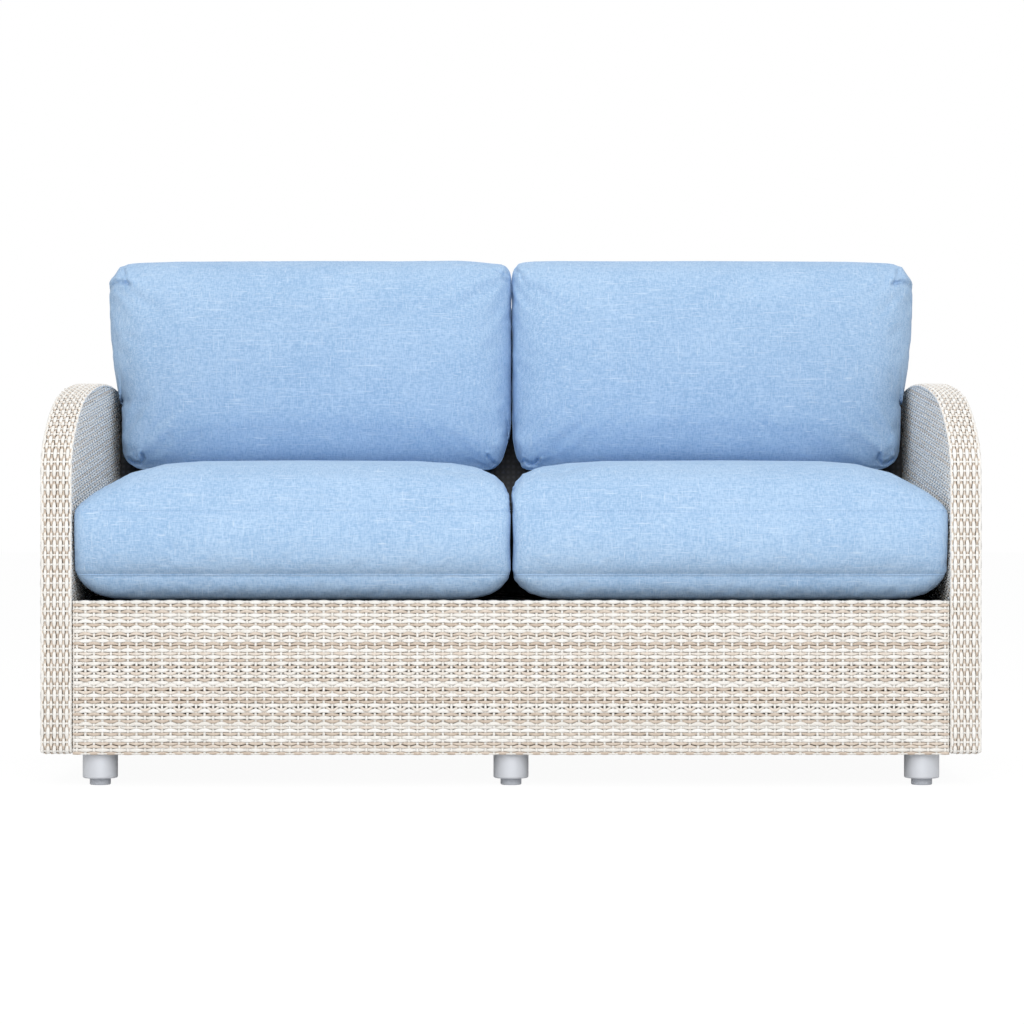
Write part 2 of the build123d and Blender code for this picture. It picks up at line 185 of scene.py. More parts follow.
HALF_ROUND = np.array([(-0.5, -0.1), (-0.30, 0.42), (0.30, 0.42), (0.5, -0.1), (0.0, -0.5)])
DIAMOND = np.array([(-0.5, -0.05), (0.0, 0.5), (0.5, -0.05), (0.0, -0.5)])
ROUND = np.array([(math.cos(a), math.sin(a)) for a in np.arange(5, -1, -1) * math.pi / 3]) * 0.5


def rod(path, width, thick, section=HALF_ROUND, closed=False):
    """Rings of a strand along a path given as (along, across, height) rows."""
    path = np.asarray(path, float)
    if closed:
        slope = np.roll(path, -1, 0) - np.roll(path, 1, 0)
    else:
        slope = np.gradient(path, axis=0)
    side = np.stack([-slope[:, 1], slope[:, 0]], 1)
    side /= np.maximum(np.linalg.norm(side, axis=1, keepdims=True), 1e-9)
    rings = np.repeat(path[:, None, :], len(section), 1)
    widths = np.broadcast_to(width, len(path))
    rings[:, :, :2] += side[:, None, :] * (widths[:, None] * section[None, :, 0])[:, :, None]
    rings[:, :, 2] += (section[:, 1] * thick)[None, :]
    return rings


def knit(name, rods, place, material):
    """One mesh object of many strands: rods are (rings, closed, whether ivory, tone)."""
    points, loops, totals, tones, start = [], [], [], [], 0
    for rings, closed, _, tone in rods:
        count, sides = rings.shape[:2]
        points.append(rings.reshape(-1, 3))
        grid = start + np.arange(count * sides).reshape(count, sides)
        ahead = np.roll(grid, -1, 0) if closed else grid[1:]
        here = grid if closed else grid[:-1]
        quads = np.stack([here, np.roll(here, -1, 1), np.roll(ahead, -1, 1), ahead], 2).reshape(-1, 4)
        loops.append(quads.ravel())
        totals.append(np.full(len(quads), 4))
        if not closed:
            loops += [grid[0][::-1], grid[-1]]
            totals.append(np.full(2, sides))
        tones.append(np.repeat(np.broadcast_to(tone, count), sides))
        start += count * sides
    points, loops, totals = place(np.concatenate(points)), np.concatenate(loops), np.concatenate(totals)
    starts = np.concatenate([[0], np.cumsum(totals)[:-1]])
    fours = starts[totals == 4]
    a, b, c = (points[loops[fours + i]] for i in (0, 1, 2))
    if np.einsum("ij,ij->", a, np.cross(b, c)) < 0:
        ends = starts + totals - 1
        within = np.arange(len(loops)) - np.repeat(starts, totals)
        loops = loops[np.repeat(ends, totals) - within]
    mesh = bpy.data.meshes.new(name)
    mesh.vertices.add(len(points))
    mesh.vertices.foreach_set("co", points.astype(np.float32).ravel())
    mesh.loops.add(len(loops))
    mesh.loops.foreach_set("vertex_index", loops.astype(np.int32))
    mesh.polygons.add(len(totals))
    mesh.polygons.foreach_set("loop_start", starts.astype(np.int32))
    mesh.polygons.foreach_set("loop_total", totals.astype(np.int32))
    mesh.polygons.foreach_set("use_smooth", np.ones(len(totals), bool))
    mesh.update(calc_edges=True)
    mesh.validate()
    mesh.attributes.new("tone", "FLOAT", "POINT").data.foreach_set("value", np.concatenate(tones).astype(np.float32))
    mesh.materials.append(material)
    made = bpy.data.objects.new(name, mesh)
    bpy.context.scene.collection.objects.link(made)
    return made


def between(outline, axis, at):
    """Where a line at one coordinate enters and leaves a convex outline, on the other axis."""
    found = []
    for a, b in zip(outline, outline[1:] + outline[:1]):
        if (a[axis] - at) * (b[axis] - at) <= 0 and a[axis] != b[axis]:
            found.append(a[1 - axis] + (at - a[axis]) / (b[axis] - a[axis]) * (b[1 - axis] - a[1 - axis]))
    return (min(found), max(found)) if len(found) > 1 else (0.0, 0.0)


def shade(draw, colour, wave, passes, painted_dip_shade):
    """A strand's tone along it: tan runs from 0 to 0.4, mixed lies between, ivory runs from 0.6 to 1.

    With painted dip shade, an ivory strand is painted tan where it dips under a stake, a painted shade, and a tan
    strand is painted ivory where it crests over one, a painted highlight.
    """
    passes = passes - passes.min()
    each = np.array([draw.gauss(0, 0.14) for _ in range(passes.max() + 1)])
    own = draw.gauss(0.5, 0.18) + each[passes] + np.array([draw.gauss(0, 0.12) for _ in wave])
    own = np.clip(own, 0, 1) * 0.4
    if colour == MIXED:
        return 0.46 + (own - 0.2) * 0.6
    pale = np.full(len(wave), colour == IVORY)
    # painted shade and highlight: an ivory strand goes tan where it dips under a stake, and a tan strand goes ivory
    # where it crests over one
    if painted_dip_shade:
        pale = wave > (-0.45 if colour == IVORY else 0.45)
    return np.where(pale, 0.6 + own, own)


def weave(outline, strand_pitch, stake_pitch, group, steps, seed, colours=(TAN, IVORY), widths=(1.0, 1.0),
          stake_width=0.0042, painted_dip_shade=False, section=HALF_ROUND, bow=0.0):
    """Strands along the first axis over stakes along the second, within a convex outline.

    group is how many strands cross the stakes together, steps the points of a strand for each
    stake, widths those of tan and ivory strands by the pitch, and bow how far a strand strays.
    """
    draw = random.Random(seed)
    lows = [min(p[i] for p in outline) for i in (0, 1)]
    highs = [max(p[i] for p in outline) for i in (0, 1)]
    count = round((highs[1] - lows[1]) / strand_pitch)
    pitch = (highs[1] - lows[1]) / count
    stakes = round((highs[0] - lows[0]) / stake_pitch)
    gap = (highs[0] - lows[0]) / stakes
    rods = []
    for number in range(count):
        at = lows[1] + (number + 0.5) * pitch
        enters, leaves = between(outline, 1, at)
        if leaves - enters < SHORTEST:
            continue
        bunch = number // group
        middle = lows[1] + (bunch + 0.5) * group * pitch
        along = np.arange(lows[0], highs[0], gap / steps)
        along = np.concatenate([[enters], along[(along > enters + 0.001) & (along < leaves - 0.001)], [leaves]])
        turn = (along - lows[0]) / gap - 0.5 + bunch
        wave = np.cos(math.pi * turn)
        sway = 0.0003 * np.sin(along / 0.037 + draw.uniform(0, 6.3)) + bow * draw.gauss(0, 1) * wave
        path = np.stack([along, at + (at - middle) * SPREAD * wave + sway, LIFT * wave * (1.2 - 0.2 * wave ** 2)], 1)
        colour = colours[number % len(colours)]
        width = pitch * widths[colour == IVORY] * (1 + 0.2 * wave)
        passes = np.round(turn / 2).astype(int)
        tone = shade(draw, colour, wave, passes, painted_dip_shade)
        rods.append((rod(path, width, STRAND_THICK, section), False, colour == IVORY, tone))
    for number in range(stakes):
        at = lows[0] + (number + 0.5) * gap
        enters, leaves = between(outline, 0, at)
        if leaves - enters < SHORTEST:
            continue
        step = max(group * pitch / 2, 0.010)
        along = np.arange(lows[1] + step / 2, highs[1], step)
        along = np.concatenate([[enters], along[(along > enters + 0.001) & (along < leaves - 0.001)], [leaves]])
        path = np.stack([np.full(len(along), at), along, np.zeros(len(along))], 1)
        tone = shade(draw, IVORY, along, np.arange(len(along)), False)
        rods.append((rod(path, stake_width, STAKE_THICK), False, True, tone))
    return rods


def binding(outline, radius, tone=0.8):
    """A round cord once round a panel's outline."""
    path = [(u, v, 0.0) for u, v in outline]
    fine = []
    for a, b in zip(path, path[1:] + path[:1]):
        pieces = max(1, int(math.dist(a, b) / 0.02))
        fine += [tuple(np.array(a) + (np.array(b) - np.array(a)) * i / pieces) for i in range(pieces)]
    return rod(fine, 2 * radius, 2 * radius, ROUND, True), True, True, tone


# Extruded polyethylene strand, coloured through and faintly drawn along: a satin
# surface whose tan and ivory runs differ a little from strand to strand.
resin, tree = new_material("extruded_resin_strand")
place = add(tree, "ShaderNodeTexCoord").outputs["Object"]
# the tone attribute holds each strand's own tone and also painted light: shade and highlight on the arm bands, lifted
# shade on the inner panels
own = add(tree, "ShaderNodeAttribute", attribute_name="tone")
# mottling of 4 mm, and drawing lines under a millimetre apart
mottle = add(tree, "ShaderNodeTexNoise", {"Vector": place, "Scale": 240.0, "Detail": 3.0})
uneven = add(tree, "ShaderNodeMapRange", {"Value": mottle.outputs["Fac"], "To Min": -0.12, "To Max": 0.12})
share = add(tree, "ShaderNodeMath", {0: own.outputs["Fac"], 1: uneven.outputs["Result"]}, operation="ADD")
tone = add(tree, "ShaderNodeValToRGB", {"Fac": share.outputs[0]})
tone.color_ramp.elements.new(0.42)
tone.color_ramp.elements.new(0.58)
for stop, code in zip(tone.color_ramp.elements, ("#c3b2a1", "#dfd2c4", "#e7e3dc", "#f4f2ee")):
    stop.color = linear(code)
drawn = add(tree, "ShaderNodeTexNoise", {"Vector": place, "Scale": 1500.0, "Detail": 1.0})
grain = add(tree, "ShaderNodeBump", {"Height": drawn.outputs["Fac"], "Strength": 0.15, "Distance": 0.0002})
skin = add(tree, "ShaderNodeBsdfPrincipled", {"Base Color": tone.outputs["Color"], "Normal": grain.outputs["Normal"],
                                              "Roughness": 0.5})
add(tree, "ShaderNodeOutputMaterial", {"Surface": skin.outputs["BSDF"]})

BAND_HALF, BAND_ROUND = 0.0250, 0.0070
INNER_LEAN, INNER_PAINTED_LIGHT = 6.0, 0.30  # degrees by which the twill's strands tip, and how much paler they are painted: painted light that lifts the shade on the inner faces
STAKE_PITCH, BOW = 0.0137, 0.0009
mid_path = arm_outline(SKIN / 2, 0.009)
reach = np.concatenate([[0], np.cumsum(np.hypot(*np.diff(mid_path[:, :2], axis=0).T))])
panel_path = arm_outline(SKIN + 0.0002, 0.002)

for name, side in (("left", -1), ("right", 1)):
    middle_x = side * (ARM_INNER_X + ARM_OUTER_X) / 2

    def on_band(p):
        """Wraps the strip round the arm and rounds its two long edges inward."""
        y, z, angle = (np.interp(p[:, 0] % reach[-1], reach, mid_path[:, i]) for i in (0, 1, 2))
        over = np.clip(np.abs(p[:, 1]) - (BAND_HALF - 0.006), 0, BAND_ROUND - 0.0001)
        height = p[:, 2] - (BAND_ROUND - np.sqrt(BAND_ROUND ** 2 - over ** 2))
        turn = np.radians(angle)
        return np.stack([middle_x + side * p[:, 1], y + np.cos(turn) * height, z + np.sin(turn) * height], 1)

    strip = [(0.0, -BAND_HALF), (reach[-1], -BAND_HALF), (reach[-1], BAND_HALF), (0.0, BAND_HALF)]
    # the band's strands carry painted shade where they dip under the stakes and painted highlight where they cross
    # over them
    rods = weave(strip, strand_pitch=0.0050, stake_pitch=0.0151, group=1, steps=5, seed=12 + side,
                 widths=(0.85, 1.12), stake_width=0.0036, painted_dip_shade=True)
    band = knit("woven_arm_band_" + name, rods, on_band, resin)
    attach(band, "frame")
    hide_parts("arm_band_" + name)

    for face, x, outward in (("inner", ARM_INNER_X + SKIN / 2, -side), ("outer", ARM_OUTER_X - SKIN / 2, side)):
        lean = math.radians(INNER_LEAN if face == "inner" else 0.0)
        cos, sin = math.cos(lean), math.sin(lean)
        edge = [(y * cos + z * sin, z * cos - y * sin) for y, z, _ in panel_path[1:-1]]

        def on_panel(p):
            """Tips the weave by its lean and stands it on the arm's side."""
            y, z = p[:, 0] * cos - p[:, 1] * sin, p[:, 0] * sin + p[:, 1] * cos
            return np.stack([side * x + outward * p[:, 2], y, z], 1)

        if face == "inner":
            rods = weave(edge, strand_pitch=0.0048, stake_pitch=0.0140, group=2, steps=3, seed=21 + side,
                         widths=(1.0, 1.1), section=DIAMOND)
            # painted light: the inner faces' strands are painted paler to lift the shade that falls on them
            rods = [(rings, closed, ivory, np.minimum(tone + INNER_PAINTED_LIGHT, 1.0)) for rings, closed, ivory, tone in rods]
        else:
            rods = weave(edge, strand_pitch=0.0058, stake_pitch=STAKE_PITCH, group=1, steps=3, seed=31 + side,
                         colours=RUN, section=DIAMOND, bow=BOW)
        rods.append(binding(edge, 0.0018))
        panel = knit(f"woven_arm_{face}_{name}", rods, on_panel, resin)
        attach(panel, "frame")
        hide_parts(f"arm_{face}_panel_{name}")


# ---------------------------------------------------------------- apron and back panels
# The same resin, plain woven over upright ivory stakes, with tan, ivory and mixed
# strands in an uneven order: wide panels bound with a round cord at their edges.

def flat(origin, first, second, outward):
    """The place of a flat panel's own (along, across, height) axes in the room."""
    axes = np.array([first, second, outward], float)
    return lambda p: np.array(origin, float) + p @ axes


SPAN, PANEL_TOP, EDGE_INSET, BINDING_RADIUS = 0.7078, 0.8098, 0.0018, 0.0012
APRON_Y, APRON_TOP, BACK_Y, BAND_Z, END_X = -0.3795, 0.300, 0.3935, 0.8125, 0.7053
# the posts' front faces stand at POST_Y at the deck's level and recline from there
RECLINE = math.radians(7.0)
LEAN = math.tan(RECLINE)
POST_Y, DECK_Z = 0.230, 0.300
panels = {
    "front_apron": ([(-SPAN, LOW_Z), (SPAN, LOW_Z), (SPAN, APRON_TOP), (-SPAN, APRON_TOP)],
                    ((0, APRON_Y, 0), (1, 0, 0), (0, 0, 1), (0, -1, 0)), 4),
    "outer_back_panel": ([(-SPAN, LOW_Z), (SPAN, LOW_Z), (SPAN, PANEL_TOP), (-SPAN, PANEL_TOP)],
                         ((0, BACK_Y, 0), (1, 0, 0), (0, 0, 1), (0, 1, 0)), 3),
    "back_top_band": ([(-SPAN, 0.2935), (SPAN, 0.2935), (SPAN, 0.396), (-SPAN, 0.396)],
                      ((0, 0, BAND_Z), (1, 0, 0), (0, 1, 0), (0, 0, 1)), 3),
}
for name, side in (("left", -1), ("right", 1)):
    end = [(POST_Y + 0.0022 + (z - DECK_Z) * LEAN, z) for z in (0.330, PANEL_TOP)]
    end += [(0.3908, PANEL_TOP), (0.3908, 0.330)]
    panels["back_end_panel_" + name] = (end, ((side * END_X, 0, 0), (0, 1, 0), (0, 0, 1), (side, 0, 0)), 4)
for number, (name, (edge, place, steps)) in enumerate(panels.items()):
    if name == "outer_back_panel":
        rods = weave(edge, strand_pitch=0.0058, stake_pitch=STAKE_PITCH, group=1, steps=steps, seed=41 + number,
                     colours=RUN, section=DIAMOND)
    else:
        rods = weave(edge, strand_pitch=0.00515, stake_pitch=STAKE_PITCH, group=1, steps=steps, seed=41 + number,
                     colours=RUN, widths=(0.86, 1.14), bow=BOW)
    inner = [(u - math.copysign(EDGE_INSET, u - np.mean([p[0] for p in edge])),
              v - math.copysign(EDGE_INSET, v - np.mean([p[1] for p in edge]))) for u, v in edge]
    rods.append(binding(inner, BINDING_RADIUS, 0.66))
    parts = {"": rods}
    if name in ("front_apron", "outer_back_panel"):
        parts = {"_tan": [r for r in rods if not r[2]], "_ivory": [r for r in rods if r[2]]}
    for ending, some in parts.items():
        panel = knit("woven_" + name + ending, some, flat(*place), resin)
        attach(panel, "frame")
        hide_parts(name)


# ---------------------------------------------------------------- deck straps
# Black elastic webbing, 50 mm wide: fourteen straps stretched from the front rail
# to the back posts and six across them, interlaced and stapled under the rails.

RIBBON = np.array([(-0.5, -0.25), (-0.49, 0.5), (0.49, 0.5), (0.5, -0.25), (0.49, -0.5), (-0.49, -0.5)])
STRAP_WIDTH, STRAP_THICK, STRAP_LEVEL = 0.050, 0.0016, 0.2979
STRAP_FRONT, STRAP_REAR, STRAP_HALF = -0.3768, 0.2293, 0.6928

webbing, tree = new_material("black_elastic_webbing")
place = add(tree, "ShaderNodeTexCoord").outputs["Object"]
# rubber-cored ribs, really 1.5 mm apart, drawn 12 mm apart along the strap so that they show
ribs = add(tree, "ShaderNodeTexWave", {"Vector": place, "Scale": 52.0, "Distortion": 0.6}, bands_direction="DIAGONAL")
tone = add(tree, "ShaderNodeMix", {"Factor": ribs.outputs["Fac"], "A": linear("#17181b"), "B": linear("#2e2f34")},
           data_type="RGBA")
grain = add(tree, "ShaderNodeBump", {"Height": ribs.outputs["Fac"], "Strength": 0.5, "Distance": 0.0004})
skin = add(tree, "ShaderNodeBsdfPrincipled", {"Base Color": tone.outputs["Result"], "Normal": grain.outputs["Normal"],
                                              "Roughness": 0.75})
add(tree, "ShaderNodeOutputMaterial", {"Surface": skin.outputs["BSDF"]})

for name, count, other, lows, highs in (("long", 14, 6, (STRAP_FRONT, -STRAP_HALF), (STRAP_REAR, STRAP_HALF)),
                                        ("cross", 6, 14, (-SPAN, STRAP_FRONT), (SPAN, STRAP_REAR))):
    rods = []
    for number in range(count):
        across = lows[1] + (number + 0.5) * (highs[1] - lows[1]) / count
        start = lows[0] if name == "long" else -STRAP_HALF
        gap = (highs[0] - lows[0]) / other if name == "long" else 2 * STRAP_HALF / other
        along = np.linspace(lows[0], highs[0], other * 8 + 1)
        wave = np.cos(math.pi * ((along - start) / gap - 0.5 + number)) * (1 if name == "long" else -1)
        path = np.stack([along, np.full(len(along), across), 0.0009 * np.clip(1.4 * wave, -1, 1)], 1)
        rods.append((rod(path, STRAP_WIDTH, STRAP_THICK, RIBBON), False, False, 0.0))
    axes = ((0, 1, 0), (-1, 0, 0)) if name == "long" else ((1, 0, 0), (0, 1, 0))
    straps = knit("deck_strap_webbing_" + name, rods, flat((0, 0, STRAP_LEVEL), *axes, (0, 0, 1)), webbing)
    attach(straps, "frame")
    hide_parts("deck_straps_" + name)


# ---------------------------------------------------------------- inside-back sling
# One panel of black open-mesh sling fabric, coated polyester yarns, stretched over
# the front of the back posts and fixed under the top frame and the rear rail.

SLING_LOW, SLING_HIGH, SLING_THICK = 0.2962, PANEL_TOP, 0.0017
COLUMNS, ROWS = 60, 24

points, wide = [], COLUMNS + 1
for row in range(ROWS + 1):
    z = SLING_LOW + (SLING_HIGH - SLING_LOW) * row / ROWS
    y = POST_Y + (z - DECK_Z) * LEAN + 0.0002
    points += [(SPAN * (2 * column / COLUMNS - 1), y, z) for column in range(wide)]
faces = [(r * wide + c, r * wide + c + 1, (r + 1) * wide + c + 1, (r + 1) * wide + c)
         for r in range(ROWS) for c in range(COLUMNS)]
sling_mesh = bpy.data.meshes.new("inside_back_sling_fabric")
sling_mesh.from_pydata(points, [], faces)
sling = bpy.data.objects.new("inside_back_sling_fabric", sling_mesh)
bpy.context.scene.collection.objects.link(sling)
thicken = sling.modifiers.new("thicken", "SOLIDIFY")
thicken.thickness = SLING_THICK
thicken.offset = -1.0

mesh_cloth, tree = new_material("black_sling_mesh_fabric")
place = add(tree, "ShaderNodeTexCoord").outputs["Object"]
# the open weave's yarns, really 2.5 mm apart, drawn 10 mm apart so that they show in the slits
rows = add(tree, "ShaderNodeTexWave", {"Vector": place, "Scale": 32.0, "Distortion": 0.4}, bands_direction="Z")
columns = add(tree, "ShaderNodeTexWave", {"Vector": place, "Scale": 32.0, "Distortion": 0.4}, bands_direction="X")
yarn = add(tree, "ShaderNodeMath", {0: rows.outputs["Fac"], 1: columns.outputs["Fac"]}, operation="MULTIPLY")
tone = add(tree, "ShaderNodeMix", {"Factor": yarn.outputs[0], "A": linear("#141518"), "B": linear("#38393e")},
           data_type="RGBA")
grain = add(tree, "ShaderNodeBump", {"Height": yarn.outputs[0], "Strength": 0.6, "Distance": 0.0005})
skin = add(tree, "ShaderNodeBsdfPrincipled", {"Base Color": tone.outputs["Result"], "Normal": grain.outputs["Normal"],
                                              "Roughness": 0.6})
add(tree, "ShaderNodeOutputMaterial", {"Surface": skin.outputs["BSDF"]})
sling_mesh.materials.append(mesh_cloth)
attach(sling, "frame")
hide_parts("inside_back_sling")


# ---------------------------------------------------------------- seat cushions
# Boxed foam seats in slubbed blue outdoor canvas: an upright boxing between two
# plain seams, a high crown on top and a rounded belly that lies on the straps.

CUSHION_X, OUTER_X = 0.354, 0.7076  # a cushion's middle and its outer side, from the middle of the sofa
# distances from a cushion's end at which its section changes
END_STEPS = (0.0, 0.003, 0.006, 0.016, 0.032, 0.060, 0.100, 0.160, 0.353)
SEAM_RADIUS, SEAM_SUNK = 0.0013, 0.0004
VOXEL, FRAMES = 0.0075, 20


def arc(a, b, c, count):
    """Points along the circle arc from a through b to c, the last one left out."""
    a, b, c = (complex(*p) for p in (a, b, c))
    w = (c - a) / (b - a)
    if abs(w.imag) < 1e-9:
        return [((a + (c - a) * i / count).real, (a + (c - a) * i / count).imag) for i in range(count)]
    centre = (b - a) * (w - abs(w) ** 2) / (2j * w.imag) + a
    first, through, last = (math.atan2((p - centre).imag, (p - centre).real) for p in (a, b, c))
    sweep = (last - first) % (2 * math.pi)
    if (through - first) % (2 * math.pi) > sweep:
        sweep -= 2 * math.pi
    turns = [first + sweep * i / count for i in range(count)]
    return [(centre.real + abs(a - centre) * math.cos(t), centre.imag + abs(a - centre) * math.sin(t)) for t in turns]


def shell(name, side, section):
    """A closed mesh of slices across the width; section(d) gives (y, z) points at d from the nearer end."""
    low_x = 0.001 if side > 0 else -0.707
    high_x = low_x + 0.706
    places = {low_x + (high_x - low_x) * i / 88 for i in range(89)}
    for step in END_STEPS[:-1]:
        places |= {low_x + step, high_x - step}
    places = sorted(places)
    rings = [[(x, y, z) for y, z in section(min(x - low_x, high_x - x))] for x in places]
    size = len(rings[0])
    faces = [(i * size + j, i * size + (j + 1) % size, (i + 1) * size + (j + 1) % size, (i + 1) * size + j)
             for i in range(len(rings) - 1) for j in range(size)]
    faces += [tuple(range(size))[::-1], tuple((len(rings) - 1) * size + j for j in range(size))]
    mesh = bpy.data.meshes.new(name)
    mesh.from_pydata([p for ring in rings for p in ring], [], faces)
    work = bmesh.new()
    work.from_mesh(mesh)
    bmesh.ops.recalc_face_normals(work, faces=work.faces)
    work.to_mesh(mesh)
    work.free()
    made = bpy.data.objects.new(name, mesh)
    bpy.context.scene.collection.objects.link(made)
    return made


def settle(piece):
    """Replaces a piece's mesh with what its modifiers make of it."""
    bpy.context.view_layer.update()
    seen = piece.evaluated_get(bpy.context.evaluated_depsgraph_get())
    mesh = bpy.data.meshes.new_from_object(seen)
    piece.modifiers.clear()
    piece.data = mesh


def points_of(mesh):
    """A mesh's vertex places as an array."""
    found = np.zeros(len(mesh.vertices) * 3, np.float32)
    mesh.vertices.foreach_get("co", found)
    return found.reshape(-1, 3).astype(float)


def put_points(mesh, points):
    """Moves a mesh's vertices to these places."""
    mesh.vertices.foreach_set("co", points.astype(np.float32).ravel())
    mesh.update()


def stuff(piece, sewn, cap, room):
    """Remeshes a cover, fills it by cloth simulation while its seams and foam hold it, and rounds it once more."""
    remesh = piece.modifiers.new("remesh", "REMESH")
    remesh.mode = "VOXEL"
    remesh.voxel_size = VOXEL
    settle(piece)
    start = points_of(piece.data)
    held = sewn(start)
    hold = piece.vertex_groups.new(name="hold")
    hold.add([int(i) for i in np.nonzero(held)[0]], 1.0, "REPLACE")
    hold.add([int(i) for i in np.nonzero(~held)[0]], 0.04, "REPLACE")
    cloth = piece.modifiers.new("cloth", "CLOTH")
    cloth.settings.use_pressure = True
    cloth.settings.uniform_pressure_force = 4.0
    cloth.settings.effector_weights.gravity = 0.0
    cloth.settings.vertex_group_mass = "hold"
    cloth.settings.quality = 3
    cloth.settings.shrink_min = -0.006
    cloth.settings.bending_stiffness = 1.0
    cloth.collision_settings.use_collision = False
    cloth.point_cache.frame_start, cloth.point_cache.frame_end = 1, FRAMES
    for number in range(1, FRAMES + 1):
        bpy.context.scene.frame_set(number)
    settle(piece)
    moved = points_of(piece.data) - start
    length = np.maximum(np.linalg.norm(moved, axis=1, keepdims=True), 1e-9)
    moved *= cap * np.tanh(length / cap) / length
    put_points(piece.data, room(start + moved))
    bpy.context.scene.frame_set(1)
    finer = piece.modifiers.new("finer", "SUBSURF")
    finer.levels = finer.render_levels = 1
    settle(piece)
    piece.vertex_groups.clear()
    put_points(piece.data, room(points_of(piece.data)))
    piece.data.polygons.foreach_set("use_smooth", np.ones(len(piece.data.polygons), bool))


def fit_outline(off, level, low, high, least=0.85):
    """Scales distances from a middle line so that at each level, in 5 mm slots, the farthest reach the outline."""
    slot = np.round(level / 0.005).astype(int)
    levels = np.unique(slot)
    ends = np.array([(off[slot == k].min(), off[slot == k].max()) for k in levels])
    lows, highs = (np.interp(level, levels * 0.005, ends[:, i]) for i in (0, 1))
    lows, highs = np.minimum(lows, -1e-6), np.maximum(highs, 1e-6)
    grow = np.where(off > 0, high(level) / highs, low(level) / lows)
    return off * np.clip(grow, least, 1.35)


def seam(name, piece, middle, across, up, count):
    """A plain seam's folded edge: a thin cord on the cover, where a plane through its middle cuts it."""
    mesh = piece.data
    hull = BVHTree.FromPolygons([v.co for v in mesh.vertices], [p.vertices for p in mesh.polygons])
    line = []
    for turn in np.linspace(0, 2 * math.pi, count + 1)[:-1]:
        away = (Vector(across) * math.cos(turn) + Vector(up) * math.sin(turn)).normalized()
        hit = hull.ray_cast(Vector(middle) + away * 1.5, -away)[0]
        line.append(tuple(hit - away * SEAM_SUNK))
    curve = bpy.data.curves.new(name, "CURVE")
    curve.dimensions = "3D"
    curve.bevel_depth = SEAM_RADIUS
    curve.bevel_resolution = 1
    spline = curve.splines.new("POLY")
    spline.points.add(count - 1)
    spline.points.foreach_set("co", [c for p in line for c in (*p, 1.0)])
    spline.use_cyclic_u = True
    made = bpy.data.objects.new(name, curve)
    bpy.context.scene.collection.objects.link(made)
    return made


# Solution-dyed acrylic canvas, plain woven: a matte, linen-like blue with soft
# lights and darks where threads cross, and thin pale slubs that run both ways.
canvas, tree = new_material("blue_outdoor_canvas")
place = add(tree, "ShaderNodeTexCoord").outputs["Object"]
cuts = {}
# threads drawn 2 mm wide, three times the real 0.7 mm, so that they show; slubs 1.5 mm wide
# and 25 to 40 mm long; and a shade that drifts over 110 mm
for key, scale, detail in (("weft", (120, 500, 500), 1.0), ("warp", (500, 120, 120), 1.0),
                           ("slub_weft", (26, 680, 680), 0.0), ("slub_warp", (680, 44, 44), 0.0),
                           ("shade", (9, 9, 9), 2.0)):
    turned = add(tree, "ShaderNodeMapping", {"Vector": place, "Scale": scale})
    noise = add(tree, "ShaderNodeTexNoise", {"Vector": turned.outputs["Vector"], "Scale": 1.0, "Detail": detail})
    cuts[key] = noise.outputs["Fac"]
thread = add(tree, "ShaderNodeMath", {0: cuts["weft"], 1: cuts["warp"]}, operation="ADD")
cloudy = add(tree, "ShaderNodeMath", {0: cuts["shade"], 1: 0.4, 2: thread.outputs[0]}, operation="MULTIPLY_ADD")
share = add(tree, "ShaderNodeMapRange", {"Value": cloudy.outputs[0], "From Min": 0.89, "From Max": 1.52})
upright = add(tree, "ShaderNodeMath", {0: cuts["slub_warp"], 1: 0.93}, operation="MULTIPLY")
slubs = add(tree, "ShaderNodeMath", {0: cuts["slub_weft"], 1: upright.outputs[0]}, operation="MAXIMUM")
pale = add(tree, "ShaderNodeMapRange", {"Value": slubs.outputs[0], "From Min": 0.66, "From Max": 0.84, "To Max": 0.6})
ground = add(tree, "ShaderNodeMix", {"Factor": share.outputs["Result"], "A": linear("#90b2d6"),
                                     "B": linear("#b1cce8")}, data_type="RGBA")
tone = add(tree, "ShaderNodeMix", {"Factor": pale.outputs["Result"], "A": ground.outputs["Result"],
                                   "B": linear("#d3e2f2")}, data_type="RGBA")
grain = add(tree, "ShaderNodeBump", {"Height": thread.outputs[0], "Strength": 0.25, "Distance": 0.0005})
skin = add(tree, "ShaderNodeBsdfPrincipled", {"Base Color": tone.outputs["Result"], "Normal": grain.outputs["Normal"],
                                               "Roughness": 0.92, "Sheen Weight": 0.04, "Sheen Roughness": 0.5})
add(tree, "ShaderNodeOutputMaterial", {"Surface": skin.outputs["BSDF"]})

# Open-cell foam with 1.4 mm pores, and fibre in 8 mm tufts, inside the covers: dull and pale.
for name, core, dark, light, pores in (("open_cell_foam", "seat_core_", "#d9d0b4", "#eee6cd", 700.0),
                                       ("polyester_fibre_fill", "back_core_", "#e4e4e2", "#f5f5f3", 120.0)):
    fill, tree = new_material(name)
    place = add(tree, "ShaderNodeTexCoord").outputs["Object"]
    cells = add(tree, "ShaderNodeTexNoise", {"Vector": place, "Scale": pores, "Detail": 3.0})
    tone = add(tree, "ShaderNodeMix", {"Factor": cells.outputs["Fac"], "A": linear(dark), "B": linear(light)},
               data_type="RGBA")
    grain = add(tree, "ShaderNodeBump", {"Height": cells.outputs["Fac"], "Strength": 0.5, "Distance": 0.0006})
    skin = add(tree, "ShaderNodeBsdfPrincipled", {"Base Color": tone.outputs["Result"],
                                                  "Normal": grain.outputs["Normal"], "Roughness": 0.95})
    add(tree, "ShaderNodeOutputMaterial", {"Surface": skin.outputs["BSDF"]})
    dress(fill, core + "left", core + "right")

